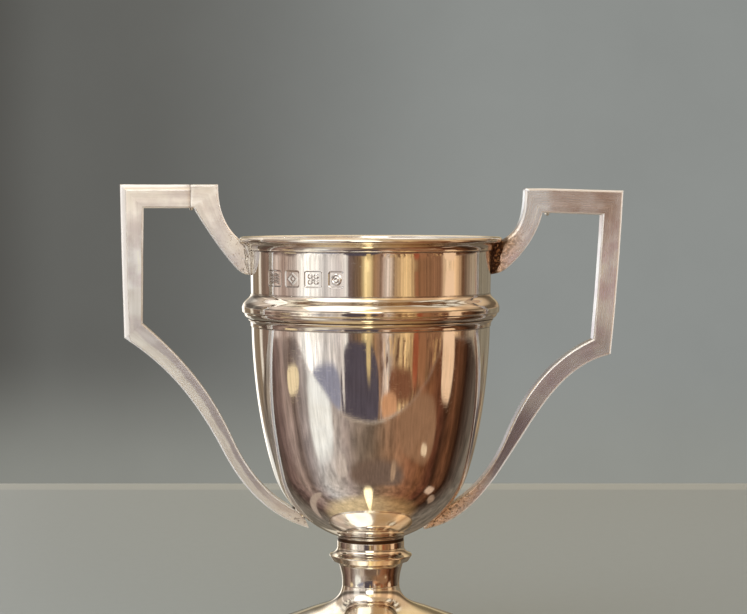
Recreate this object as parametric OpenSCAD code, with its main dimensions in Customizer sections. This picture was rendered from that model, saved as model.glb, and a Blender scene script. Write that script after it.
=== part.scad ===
// Two-handled silver prize cup: a spun bowl with applied wires, a turned stem and foot,
// and two angular bar handles, each soldered up from four pieces.
// Millimetres, +Z up. The origin is on the table under the middle of the foot, and the
// handles lie along X.

/* [Bowl] */
// Thickness of the spun sheet
wall = 0.8; // [0.6:0.1:1]
// Height of the mouth's edge
mouth_z = 78.9; // [78.9:0.1:80]
// Outside radius of the neck where it meets the lip
neck_top_r = 22.95; // [22.8:0.05:23.1]
// Outside radius of the neck where it meets the belly
neck_base_r = 22.7; // [22.5:0.05:22.8]
// Height where the neck meets the belly
neck_base_z = 60.7; // [60:0.1:61]
// Height of the lowest point of the belly
belly_base_z = 20.9; // [20.6:0.1:21.2]

/* [Lip] */
// Outside radius of the lip
lip_r = 25; // [24.8:0.1:25.4]
// Radius of the bead that edges the lip
lip_bead_r = 0.55; // [0.45:0.05:0.65]
// Height of the lip's lower edge
lip_base_z = 76.65; // [76.4:0.05:76.8]

/* [Girdle] */
// Height where the girdle's cove leaves the neck
girdle_top_z = 68.3; // [68:0.1:69]
// Outside radius of the girdle's flat band
girdle_r = 24.5; // [24.3:0.1:24.8]
// Height where the upper girdle wire rests on the lower one
girdle_split_z = 64.75; // [64.6:0.05:64.9]
// Height of the lower girdle wire's bottom edge
girdle_base_z = 62.2; // [62:0.1:62.4]

/* [Stem and foot] */
// Radius of the knop ring's sharp edge
knop_r = 7.9; // [7.6:0.1:8.4]
// Radius of the stem at its waist
stem_waist_r = 5.5; // [5.3:0.1:5.7]
// Height of the seam where the stem meets the foot
stem_seam_z = 12.6; // [12.4:0.1:12.8]
// Thickness of the foot's spun sheet
foot_wall = 0.9; // [0.7:0.1:1]
// Radius of the foot's upright skirt
skirt_r = 18; // [17.6:0.1:18.4]
// Outside radius of the foot wire
foot_r = 19.6; // [19.2:0.1:20.4]
// Height of the foot wire
foot_wire_h = 2.8; // [2.4:0.1:3.2]

/* [Handle bars] */
// Depth of the handle bars from front to back
bar_depth = 3.3; // [3:0.1:4]
// Distance from the axis to the joint of the bracket and the top bar
bracket_seam_x = 34.2; // [33.9:0.1:36]

/* [Left handle] */
// Distance from the axis to the outer top corner
left_reach = 47.4; // [47:0.1:48]
// Height of the top
left_top_z = 89; // [88.6:0.1:89.4]
// Height of the outer bend where the grip meets the leg
left_bend_z = 60.1; // [59.5:0.1:61]
// Distance from the axis to the tip of the leg
left_tip_x = 11.9; // [11.4:0.1:12.4]

/* [Right handle] */
// Distance from the axis to the outer top corner
right_reach = 48.6; // [48:0.1:49]
// Height of the top at the bracket
right_top_z = 88.3; // [88:0.1:88.8]
// Height of the outer bend where the grip meets the leg
right_bend_z = 56.4; // [55.8:0.1:57]
// Distance from the axis to the tip of the leg
right_tip_x = 10.2; // [9.8:0.1:10.8]

/* [Hidden] */
$fn = 120;

LEFT = -1;
RIGHT = 1;
BRIGHT_SILVER = [0.84, 0.83, 0.8];
WARM_SILVER = [0.8, 0.73, 0.62];
GREY_SILVER = [0.72, 0.69, 0.68];

steps = 20;                            // segments in each long curve
seat_step = steps / 4;                 // belly point where the collar's top edge meets the bowl
bore_step = 3;                         // belly point above the collar's bore
play = 0.03;                           // solder gap round each spigot
belly_mid = [18.4, 33.5];              // where the belly's lower and upper curves join
mouth_r = 23.9;                        // outside radius of the shell at the mouth
flare_base_z = mouth_z - 2.7;          // where the neck starts to flare into the mouth
collar_base_z = 19.9;
collar_r = 6.4;
knop_edge_z = 18.3;
knop_base_z = 16.4;
knop_base_r = 6.1;
stem_bore_r = 3.9;
foot_throat_r = stem_waist_r - foot_wall;
spigot_h = 1;
shoulder = [17.1, 5.6];                // outer shoulder of the domed foot
leg_end = [13.5, 26.8];                // where the leg's upper edge ends, inside the bowl's wall

// ---- Curves -------------------------------------------------------------------------

// Points of a cubic curve from p[0] to p[3] that leaves towards p[1] and arrives from p[2]
function curve(p, n = steps) = [
    for (i = [0:n])
        let (t = i / n, s = 1 - t)
        s^3 * p[0] + 3 * s * s * t * p[1] + 3 * s * t * t * p[2] + t^3 * p[3]
];

function tail(points) = [for (i = [1:len(points) - 1]) points[i]];
function flip(points) = [for (i = [len(points) - 1:-1:0]) points[i]];
function unit(v) = v / norm(v);

// Points moved to their left by a distance, for the inside of a sheet of even thickness
function inset(points, distance) = [
    for (i = [0:len(points) - 1])
        let (
            ahead = points[min(i + 1, len(points) - 1)],
            behind = points[max(i - 1, 0)],
            way = unit(ahead - behind)
        )
        points[i] + distance * [-way.y, way.x]
];

// Outside radius of the neck at a height
function neck_r(z) = neck_base_r
    + (neck_top_r - neck_base_r) * (z - neck_base_z) / (flare_base_z - neck_base_z);

// ---- The bowl's outline, from its lowest point to its mouth -----------------------------

belly_low = curve([
    [0, belly_base_z],
    [9.5, belly_base_z],
    [16.4, 27.6],
    belly_mid
]);
belly_high = curve([
    belly_mid,
    [21, 41.2],
    [neck_base_r - 0.3, 51.7],
    [neck_base_r, neck_base_z]
]);
mouth_flare = curve([
    [neck_top_r, flare_base_z],
    [neck_top_r, flare_base_z + 1.2],
    [mouth_r, mouth_z - 1.4],
    [mouth_r, mouth_z]
], 10);
bowl_outside = concat(belly_low, tail(belly_high), mouth_flare);
bowl_inside = inset(bowl_outside, wall);

// ---- Bowl ---------------------------------------------------------------------------

// One spinning: belly, straight neck and flared mouth
module bowl_shell() {
    color(BRIGHT_SILVER)
        rotate_extrude()
            polygon(concat(
                bowl_outside,
                flip(tail(bowl_inside)),
                [[0, belly_base_z + wall]]
            ));
}

// The lip's outline beyond the shell: a small step, a cove and a round bead
function lip_edge() =
    let (bead = [lip_r - lip_bead_r, mouth_z - 0.35])
    concat(
        [[neck_r(lip_base_z) + 0.35, lip_base_z]],
        curve([
            [neck_top_r + 0.35, lip_base_z + 0.1],
            [neck_top_r + 0.4, lip_base_z + 0.95],
            [neck_top_r + 0.85, bead.y - lip_bead_r],
            bead + [0, -lip_bead_r]
        ], 10),
        [for (a = [-75:15:90]) bead + lip_bead_r * [cos(a), sin(a)]]
    );

flare_above_lip = [for (p = mouth_flare) if (p.y > lip_base_z) p];

// Moulded wire soldered round the outside of the mouth
module lip_wire() {
    color(BRIGHT_SILVER)
        rotate_extrude()
            polygon(concat(lip_edge(), flip(flare_above_lip), [[neck_r(lip_base_z), lip_base_z]]));
}

// Upper girdle wire: a cove that swells into a flat band
module girdle_upper_wire() {
    color(BRIGHT_SILVER)
        rotate_extrude()
            polygon(concat(
                [[neck_r(girdle_split_z), girdle_split_z], [girdle_r - 0.15, girdle_split_z]],
                [[girdle_r, girdle_split_z + 0.2], [girdle_r, girdle_top_z - 2.3]],
                curve([
                    [girdle_r - 0.08, girdle_top_z - 2.1],
                    [girdle_r - 0.4, girdle_top_z - 1.1],
                    [neck_r(girdle_top_z) + 0.25, girdle_top_z - 0.9],
                    [neck_r(girdle_top_z) + 0.06, girdle_top_z]
                ], 12),
                [[neck_r(girdle_top_z), girdle_top_z]]
            ));
}

// Lower girdle wire: a quarter round, a thin fillet and a cove that dies into the belly
module girdle_lower_wire() {
    color(BRIGHT_SILVER)
        rotate_extrude()
            polygon(concat(
                [[neck_r(girdle_base_z), girdle_base_z], [neck_r(girdle_base_z) + 0.15, girdle_base_z]],
                curve([
                    [neck_r(girdle_base_z) + 0.17, girdle_base_z + 0.2],
                    [neck_r(girdle_base_z) + 0.2, girdle_base_z + 0.7],
                    [neck_r(girdle_base_z) + 0.35, girdle_base_z + 1],
                    [neck_r(girdle_base_z) + 0.6, girdle_base_z + 1.15]
                ], 6),
                [[neck_r(girdle_base_z) + 0.6, girdle_base_z + 1.4]],
                curve([
                    [neck_r(girdle_base_z) + 0.8, girdle_base_z + 1.55],
                    [girdle_r - 0.6, girdle_base_z + 1.75],
                    [girdle_r - 0.4, girdle_split_z - 0.45],
                    [girdle_r - 0.4, girdle_split_z]
                ], 8),
                [[neck_r(girdle_split_z), girdle_split_z]]
            ));
}

// ---- Stem and foot ------------------------------------------------------------------

// Ring that the bowl sits in; its top follows the belly
module bowl_collar() {
    seat = [for (i = [bore_step:seat_step]) belly_low[i]];
    bore_r = seat[0].x;
    rim = seat[len(seat) - 1];
    color(WARM_SILVER)
        rotate_extrude()
            polygon(concat(
                [[bore_r, collar_base_z], [collar_r, collar_base_z], [collar_r, 21]],
                [[collar_r - 0.1, 21.1], [collar_r - 0.05, 21.6]],
                flip(seat)
            ));
}

// Knife-edged ring with a spigot up into the collar and one down into the stem
module knop_ring() {
    upper_spigot_r = belly_low[bore_step].x - play;
    lower_spigot_r = stem_bore_r - play;
    vent_r = 1.6;
    color(WARM_SILVER)
        rotate_extrude()
            polygon(concat(
                [[vent_r, knop_base_z - spigot_h], [lower_spigot_r, knop_base_z - spigot_h]],
                [[lower_spigot_r, knop_base_z]],
                curve([
                    [knop_base_r, knop_base_z],
                    [knop_base_r + 0.1, knop_base_z + 0.45],
                    [knop_r - 1.1, knop_base_z + 0.6],
                    [knop_r - 0.65, knop_base_z + 0.75]
                ], 6),
                [[knop_r, knop_edge_z - 0.15], [knop_r, knop_edge_z]],
                curve([
                    [knop_r - 0.1, knop_edge_z + 0.1],
                    [knop_r - 0.9, knop_edge_z + 0.35],
                    [collar_r + 0.05, knop_edge_z + 0.85],
                    [collar_r, collar_base_z]
                ], 10),
                [[upper_spigot_r, collar_base_z], [upper_spigot_r, collar_base_z + spigot_h]],
                [[vent_r, collar_base_z + spigot_h]]
            ));
}

// Hollow waisted stem with a spigot down into the foot
module stem() {
    spigot_r = foot_throat_r - play;
    color(WARM_SILVER)
        rotate_extrude()
            polygon(concat(
                [[stem_bore_r, stem_seam_z - spigot_h], [spigot_r, stem_seam_z - spigot_h]],
                [[spigot_r, stem_seam_z]],
                curve([
                    [stem_waist_r, stem_seam_z],
                    [stem_waist_r, stem_seam_z + 1.6],
                    [knop_base_r - 0.35, knop_base_z - 1.3],
                    [knop_base_r, knop_base_z]
                ], 12),
                [[stem_bore_r, knop_base_z]]
            ));
}

// The foot's outline, from the seam down to the bottom of the skirt
trumpet = curve([
    [stem_waist_r, stem_seam_z],
    [stem_waist_r + 0.1, 9.2],
    [9.2, 8.6],
    [11.6, 7.7]
]);
dome = curve([[11.6, 7.7], [13.6, 6.95], [15.6, 6.2], shoulder], 8);
skirt = curve([shoulder, [17.7, 5.4], [skirt_r, 4.9], [skirt_r, 4]], 8);
skirt_base_z = 0.3;
foot_outside = concat(trumpet, tail(dome), tail(skirt), [[skirt_r, skirt_base_z]]);

// One spinning: trumpet, dome and upright skirt, open underneath
module foot_dome() {
    foot_inside = inset(foot_outside, -foot_wall);
    color(WARM_SILVER)
        rotate_extrude()
            polygon(concat(foot_outside, flip(foot_inside)));
}

// Moulded wire soldered round the skirt, and the only piece that touches the table
module foot_rim_wire() {
    color(WARM_SILVER)
        rotate_extrude()
            polygon(concat(
                [[skirt_r, 0], [foot_r - 0.15, 0], [foot_r, 0.15], [foot_r, foot_wire_h - 1.5]],
                curve([
                    [foot_r - 0.15, foot_wire_h - 1.2],
                    [foot_r - 0.3, foot_wire_h - 0.9],
                    [skirt_r + 0.35, foot_wire_h - 0.9],
                    [skirt_r + 0.3, foot_wire_h]
                ], 10),
                [[skirt_r, foot_wire_h]]
            ));
}

// ---- Handles ------------------------------------------------------------------------
// Outlines are drawn once, outwards from the axis, and turned to their side.
// The two handles differ a little, as hand-made ones do: each pair below holds the left
// handle's value and then the right handle's.

reaches = [left_reach, right_reach];
top_heights = [left_top_z, right_top_z];
top_falls = [0, 0.4];                  // how far the top drops from the bracket to the corner
bar_heights = [4.5, 4.7];              // width of the top bar, seen from the front
grip_widths = [4.45, 4.1];             // width of the grip bar at its top
grip_bows = [0.05, 0.2];               // how far the grip bar bows outwards
outer_bends = [[left_reach - 0.65, left_bend_z], [right_reach - 2.3, right_bend_z]];
inner_bends = [[left_reach - 4.2, left_bend_z + 2.7], [right_reach - 5.8, right_bend_z + 3]];
lower_waists = [[28.2, 38.4], [27.6, 38.4]];           // middle of the leg's lower edge
upper_waists = [[26.5, 41.2], [26.3, 41.2]];           // middle of the leg's upper edge
lower_slopes = [[33, 63, 16], [12, 57, 8]];            // at the bend, the middle and the tip
upper_slopes = [[41, 66, 25], [24, 68, 25]];           // at the bend, the middle and the bowl
tips = [[left_tip_x, 23.6], [right_tip_x, 23.1]];
head_xs = [29, 29.5];                                  // inner face of the bracket's head
crook_xs = [33.6, 32.9];                               // where the bracket leaves the top bar
arm_tops = [                                           // upper edge of the bracket's arm
    [[29, 85], [28.2, 81], [24.4, 78.2]],
    [[29.4, 84.3], [29.2, 79.4], [24.4, 78.1]]
];
arm_bottoms = [                                        // lower edge of the bracket's arm
    [[31.6, 80.9], [27.1, 74.3], [24.5, 72]],
    [[32.05, 79.5], [28.6, 74.6], [24.9, 72.2]]
];

function pick(side, pair) = side == LEFT ? pair[0] : pair[1];
function under_z(side) = pick(side, top_heights) - pick(side, bar_heights);
function outer_corner(side) = [pick(side, reaches), pick(side, top_heights) - pick(side, top_falls)];
function inner_corner(side) = outer_corner(side) - [pick(side, grip_widths), pick(side, bar_heights)];

// A nearly straight edge from a to b that bows outwards by bow at its middle
function bowed(a, b, bow) = curve([
    a,
    a + (b - a) / 3 + [bow * 4 / 3, 0],
    a + (b - a) * 2 / 3 + [bow * 4 / 3, 0],
    b
], 8);

// One edge of a leg: from the bend through its waist to its end, with a slope at each
function leg_edge(bend, waist, end, slopes) =
    let (
        pull = 0.36,
        upper = pull * norm(waist - bend),
        lower = pull * norm(end - waist),
        way = [for (a = slopes) -[cos(a), sin(a)]]
    )
    concat(
        curve([bend, bend + upper * way[0], waist - upper * way[1], waist], 14),
        tail(curve([waist, waist + lower * way[1], end - lower * way[2], end], 14))
    );

function leg_lower_edge(side) =
    leg_edge(pick(side, outer_bends), pick(side, lower_waists), pick(side, tips), pick(side, lower_slopes));

function leg_upper_edge(side) =
    leg_edge(pick(side, inner_bends), pick(side, upper_waists), leg_end, pick(side, upper_slopes));

// A flat outline in XZ given the bars' depth and put on its side of the cup
module bar(side, outline) {
    color(GREY_SILVER)
        rotate([90, 0, 0])
            linear_extrude(bar_depth, center = true)
                polygon([for (p = outline) [side * p.x, p.y]]);
}

// Everything inside the bowl's outside face, to cope a bar's end to the bowl
module bowl_body() {
    rotate_extrude()
        polygon(concat([[0, mouth_z]], bowl_outside));
    rotate_extrude()
        polygon(concat([[neck_r(lip_base_z) - wall, lip_base_z]], lip_edge(), [[mouth_r - wall, mouth_z]]));
}

// Bracket: the head of the top bar, then a curved arm down to the neck
module bracket(side) {
    head_z = pick(side, top_heights);
    root_x = neck_top_r - 0.6;
    arm_top = pick(side, arm_tops);
    arm_bottom = pick(side, arm_bottoms);
    difference() {
        bar(side, concat(
            [[bracket_seam_x, under_z(side)], [bracket_seam_x, head_z]],
            curve(concat([[pick(side, head_xs), head_z]], arm_top)),
            [[root_x, 77.5], [root_x, 71.8]],
            flip(curve(concat([[pick(side, crook_xs), under_z(side)]], arm_bottom)))
        ));
        bowl_body();
    }
}

// Bar from the bracket's head to the mitred top corner
module top_bar(side) {
    bar(side, [
        [bracket_seam_x, pick(side, top_heights)],
        outer_corner(side),
        inner_corner(side),
        [bracket_seam_x, under_z(side)]
    ]);
}

// Upright bar from the top corner to the bend
module grip_bar(side) {
    bow = pick(side, grip_bows);
    bar(side, concat(
        bowed(outer_corner(side), pick(side, outer_bends), bow),
        flip(bowed(inner_corner(side), pick(side, inner_bends), bow / 2))
    ));
}

// Tapered leg from the bend, in a double curve, to the underside of the bowl
module leg(side) {
    difference() {
        bar(side, concat(leg_lower_edge(side), flip(leg_upper_edge(side))));
        bowl_body();
    }
}

module left_bracket() {
    bracket(LEFT);
}

module left_top_bar() {
    top_bar(LEFT);
}

module left_grip_bar() {
    grip_bar(LEFT);
}

module left_leg() {
    leg(LEFT);
}

module right_bracket() {
    bracket(RIGHT);
}

module right_top_bar() {
    top_bar(RIGHT);
}

module right_grip_bar() {
    grip_bar(RIGHT);
}

module right_leg() {
    leg(RIGHT);
}

bowl_shell();
lip_wire();
girdle_upper_wire();
girdle_lower_wire();
bowl_collar();
knop_ring();
stem();
foot_dome();
foot_rim_wire();
left_bracket();
left_top_bar();
left_grip_bar();
left_leg();
right_bracket();
right_top_bar();
right_grip_bar();
right_leg();
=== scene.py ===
"""Looks for the two-handled silver prize cup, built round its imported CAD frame. Metres throughout."""

import math

import bmesh
import bpy
import numpy as np
from mathutils import Matrix, Vector, bvhtree, noise


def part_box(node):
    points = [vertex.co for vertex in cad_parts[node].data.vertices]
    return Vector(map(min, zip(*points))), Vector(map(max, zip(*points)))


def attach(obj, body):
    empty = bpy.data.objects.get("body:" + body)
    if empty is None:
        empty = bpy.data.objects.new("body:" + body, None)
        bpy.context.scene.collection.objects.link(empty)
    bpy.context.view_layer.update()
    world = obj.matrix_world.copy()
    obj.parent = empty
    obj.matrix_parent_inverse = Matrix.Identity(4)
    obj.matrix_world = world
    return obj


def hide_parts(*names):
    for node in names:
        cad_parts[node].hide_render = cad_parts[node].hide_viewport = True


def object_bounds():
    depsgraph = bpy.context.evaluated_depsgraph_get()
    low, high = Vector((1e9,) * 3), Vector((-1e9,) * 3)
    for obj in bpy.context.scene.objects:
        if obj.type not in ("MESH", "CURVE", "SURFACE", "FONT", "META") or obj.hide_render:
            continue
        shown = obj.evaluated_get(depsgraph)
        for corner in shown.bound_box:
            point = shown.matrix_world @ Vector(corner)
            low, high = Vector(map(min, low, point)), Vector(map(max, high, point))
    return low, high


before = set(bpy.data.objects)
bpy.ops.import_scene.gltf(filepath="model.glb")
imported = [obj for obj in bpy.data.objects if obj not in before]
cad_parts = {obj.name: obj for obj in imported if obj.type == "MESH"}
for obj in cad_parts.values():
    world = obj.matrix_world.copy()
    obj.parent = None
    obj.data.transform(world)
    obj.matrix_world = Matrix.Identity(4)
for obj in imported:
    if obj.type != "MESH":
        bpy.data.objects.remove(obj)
cad_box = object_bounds()

MM = 0.001
SAME = 0.002 * MM  # two points closer than this are one point
BODY = "root"

lip_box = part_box("lip_wire")
girdle_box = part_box("girdle_upper_wire")
lower_girdle_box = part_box("girdle_lower_wire")
collar_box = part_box("bowl_collar")
lip_radius = lip_box[1].x
top_z = cad_box[1].z

# ---- Camera ---------------------------------------------------------------------------

EYE_DISTANCE = 0.419
EYE_HEIGHT = top_z - 3.7 * MM
LENS_MM = 106.0
CUP_TURN = math.radians(5.5)  # the left handle stands a little nearer the eye
TILT_DOWN = math.radians(2.68)
AIM_RIGHT = math.radians(0.073)


def add_camera():
    data = bpy.data.cameras.new("camera")
    data.sensor_width = 36.0
    data.lens = LENS_MM
    data.clip_start = 0.02
    data.clip_end = 50.0
    camera = bpy.data.objects.new("camera", data)
    bpy.context.scene.collection.objects.link(camera)
    camera.location = (
        -EYE_DISTANCE * math.sin(CUP_TURN),
        -EYE_DISTANCE * math.cos(CUP_TURN),
        EYE_HEIGHT,
    )
    camera.rotation_euler = (math.pi / 2 - TILT_DOWN, 0.0, -(CUP_TURN + AIM_RIGHT))
    bpy.context.scene.camera = camera


# ---- Node helpers ---------------------------------------------------------------------


class Nodes:
    """A short way to build a node tree: add a node, set its sockets and link them."""

    def __init__(self, tree):
        self.tree = tree
        tree.nodes.clear()

    def add(self, kind, inputs=None, **settings):
        node = self.tree.nodes.new(kind)
        for name, value in settings.items():
            setattr(node, name, value)
        for key, value in (inputs or {}).items():
            self.put(node.inputs[key], value)
        return node

    def put(self, socket, value):
        if isinstance(value, bpy.types.NodeSocket):
            self.tree.links.new(value, socket)
        else:
            socket.default_value = value

    def math(self, operation, a, b=0.0, c=0.0):
        node = self.add("ShaderNodeMath", {0: a, 1: b, 2: c}, operation=operation)
        return node.outputs[0]

    def times(self, a, b):
        return self.math("MULTIPLY", a, b)

    def times_plus(self, a, b, c):
        return self.math("MULTIPLY_ADD", a, b, c)

    def axis(self, vector, letter):
        return self.add("ShaderNodeSeparateXYZ", {"Vector": vector}).outputs[letter]

    def span(self, value, low, high, to_low=0.0, to_high=1.0):
        node = self.add(
            "ShaderNodeMapRange",
            {"Value": value, "From Min": low, "From Max": high, "To Min": to_low, "To Max": to_high},
            interpolation_type="SMOOTHSTEP",
        )
        return node.outputs["Result"]

    def noise(self, vector, scale, detail=2.0, roughness=0.5):
        node = self.add(
            "ShaderNodeTexNoise",
            {"Vector": vector, "Scale": scale, "Detail": detail, "Roughness": roughness},
        )
        return node.outputs["Factor" if "Factor" in node.outputs else "Fac"]

    def stretch(self, vector, scale):
        node = self.add("ShaderNodeVectorMath", {0: vector, 1: scale}, operation="MULTIPLY")
        return node.outputs[0]

    def mix(self, factor, a, b):
        node = self.add("ShaderNodeMix", data_type="RGBA")
        self.put(node.inputs[0], factor)
        self.put(node.inputs[6], a)
        self.put(node.inputs[7], b)
        return node.outputs[2]

    def attribute(self, name, output="Fac"):
        return self.add("ShaderNodeAttribute", attribute_name=name).outputs[output]


def rgb(*values):
    return (*values, 1.0)


WHITE = rgb(1.0, 1.0, 1.0)


def new_material(name):
    """An empty material with its nodes and the place of each point on the object."""
    material = bpy.data.materials.new(name)
    material.use_nodes = True
    nodes = Nodes(material.node_tree)
    return material, nodes, nodes.add("ShaderNodeTexCoord").outputs["Object"]


def finish_metal(nodes, colour, metallic, roughness, relief):
    """The shader of a metal; relief is its height in metres, shown as bump."""
    bump = nodes.add("ShaderNodeBump", {"Height": relief, "Strength": 1.0, "Distance": 1.0})
    sockets = {
        "Base Color": colour,
        "Metallic": metallic,
        "Roughness": roughness,
        "Normal": bump.outputs["Normal"],
    }
    shader = nodes.add("ShaderNodeBsdfPrincipled", sockets)
    nodes.add("ShaderNodeOutputMaterial", {"Surface": shader.outputs[0]})


def scale_colour(nodes, colour, factor):
    if isinstance(colour, tuple):
        colour = colour[:3]
    if isinstance(factor, float):
        factor = (factor, factor, factor)
    return nodes.add("ShaderNodeVectorMath", {0: colour, 1: factor}, operation="MULTIPLY").outputs[0]


# ---- Materials ------------------------------------------------------------------------

TARNISH = rgb(0.10, 0.060, 0.035)


def streaks(nodes, grain, scale, low, high):
    """Thin lines along the directions in which scale is small, as a mask from 0 to 1."""
    field = nodes.noise(nodes.stretch(grain, scale), 1.0, detail=3.0, roughness=0.65)
    return nodes.span(field, low, high)


def silver(name, tone, warm_tone, roughness, scratch, turned):
    """Polished silver: uneven tone, crossing scratches, turning lines and tarnish in the crevices."""
    material, nodes, place = new_material(name)
    grain = nodes.attribute("grain", "Vector")
    left_twist = nodes.attribute("grain_left", "Vector")
    right_twist = nodes.attribute("grain_right", "Vector")
    cavity = nodes.attribute("cavity")

    patches = nodes.span(nodes.noise(place, 1 / (9 * MM), 4.0, 0.6), 0.35, 0.7)
    base = nodes.mix(patches, tone, warm_tone)
    blotches = nodes.noise(place, 1 / (0.7 * MM), 5.0, 0.7)
    dirt = nodes.span(nodes.times_plus(blotches, 0.5, cavity), 0.55, 1.2)
    colour = nodes.mix(dirt, base, TARNISH)

    left_lines = streaks(nodes, left_twist, (900.0, 900.0, 9000.0), 0.60, 0.74)
    right_lines = streaks(nodes, right_twist, (1000.0, 1000.0, 8000.0), 0.61, 0.75)
    upright_lines = streaks(nodes, grain, (6000.0, 6000.0, 350.0), 0.60, 0.76)
    round_lines = streaks(nodes, grain, (25.0, 25.0, 12000.0), 0.35, 0.75)
    crossing = nodes.math("MAXIMUM", nodes.math("MAXIMUM", left_lines, right_lines), upright_lines)
    worn = nodes.span(nodes.noise(place, 1 / (5 * MM), 3.0, 0.6), 0.38, 0.68)
    scuffs = nodes.times(crossing, nodes.times_plus(worn, 0.7, 0.3))

    haze = nodes.times_plus(worn, 0.35 * roughness, roughness)
    rough = nodes.times_plus(scuffs, 0.10, haze)
    rough = nodes.times_plus(dirt, 0.35, rough)
    inside = nodes.attribute("inside")  # the inner walls are satin, because no mop reaches them well
    rough = nodes.times_plus(inside, 0.10, rough)
    metal = nodes.times_plus(inside, -0.4, 1.0)

    peel = nodes.noise(place, 1 / (1.6 * MM), 2.0, 0.5)
    relief = nodes.times(scuffs, -scratch)
    relief = nodes.times_plus(round_lines, turned, relief)
    relief = nodes.times_plus(peel, 1.2e-6, relief)
    relief = nodes.times_plus(dirt, 6e-6, relief)
    finish_metal(nodes, colour, metal, rough, relief)
    return material


# Tones of the filed bars: a pair is a light and a dark patch, unless a comment says otherwise
# The tones by side and height are painted light and shade: the left top bar is painted lit and pale, the
# right top bar and right leg are painted in shade and darker
LEFT_LOW = (rgb(0.88, 0.94, 1.0), rgb(0.70, 0.70, 0.78))
LEFT_HIGH = (rgb(1.0, 1.0, 0.97), rgb(0.82, 0.79, 0.79))
RIGHT_LOW = (rgb(0.84, 0.91, 1.0), rgb(0.70, 0.66, 0.80))
RIGHT_HIGH = (rgb(0.62, 0.60, 0.64), rgb(0.50, 0.43, 0.42))
LEFT_LEG = (rgb(0.93, 0.99, 1.0), rgb(0.56, 0.57, 0.64))  # painted lit and shaded sides of a filed crest that the flat bar does not have
# a painted highlight on the inner part of the right top bar
RIGHT_HEAD_HIGHLIGHT = rgb(0.78, 0.86, 0.98)
RIGHT_LEG = rgb(0.28, 0.31, 0.40)
RIGHT_LEG_SHADE = rgb(0.20, 0.18, 0.22)
NEAR_SOLDER = (rgb(0.98, 0.95, 0.88), rgb(1.0, 0.72, 0.46))  # on the left and on the right handle; the right one's orange is a painted warm reflection


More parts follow.
